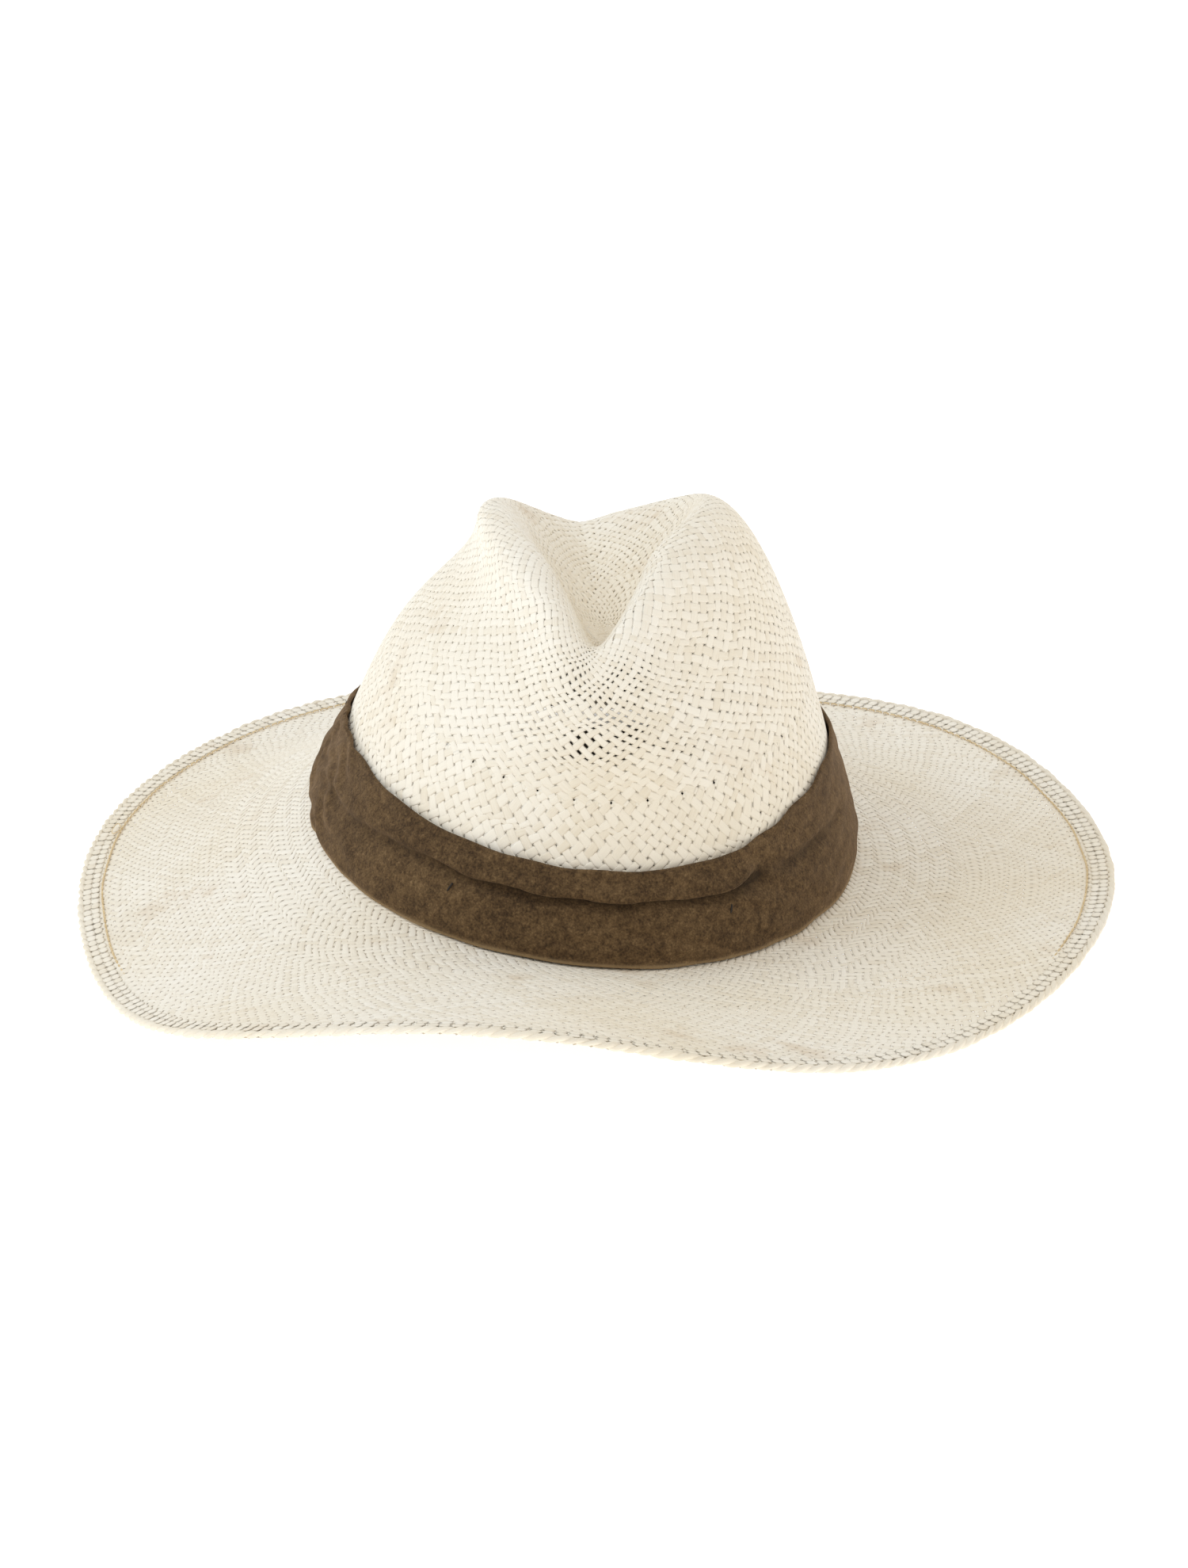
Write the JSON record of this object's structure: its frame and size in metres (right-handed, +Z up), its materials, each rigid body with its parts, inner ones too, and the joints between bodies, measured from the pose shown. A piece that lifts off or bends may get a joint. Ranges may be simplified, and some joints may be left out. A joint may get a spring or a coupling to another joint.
{
  "type": "panama hat",
  "caption": "Woven straw hat with a pinched teardrop crown, a wide wavy hemmed brim, a suede band and a sewn-in sweatband.",
  "frame": {"origin": "on the surface the hat rests on, under the middle of its outline", "axes": "+Z up from the surface; +Y towards the back of the hat, along its longest extent; -Y is the front; +X towards the wearer's left"},
  "size_m": [0.3396, 0.3744, 0.1328],
  "materials": {
    "straw": "woven toquilla palm straw, satin",
    "suede": "brown suede with a soft nap",
    "sweatband_leather": "dark dressed leather",
    "reed": "matt",
    "wire": "drawn wire",
    "tan_thread": "waxed thread",
    "dark_thread": "thread",
    "label_cloth": "woven tape, blank"
  },
  "bodies": {
    "hat": {"crown": "straw", "brim": "straw", "brim_hem": "straw", "brim_wire": "wire", "hem_stitching": "tan_thread", "hat_band": "suede", "band_lap": "suede", "band_lap_stitches": "dark_thread", "band_tacks": "dark_thread", "sweatband": "sweatband_leather", "sweatband_reed": "reed", "sweatband_stitching": "dark_thread", "sweatband_back_seam": "dark_thread", "label_tab": "label_cloth", "label_stitches": "dark_thread"},
    "label": {"size_label": "label_cloth"}
  },
  "joints": [
    {"name": "label_fold", "type": "hinge", "parent": "hat", "child": "label", "pos_m": [0.00222, 0.09121, 0.0584], "axis": [-0.989, 0, 0.1478], "range_deg": [-8, 110]}
  ]
}
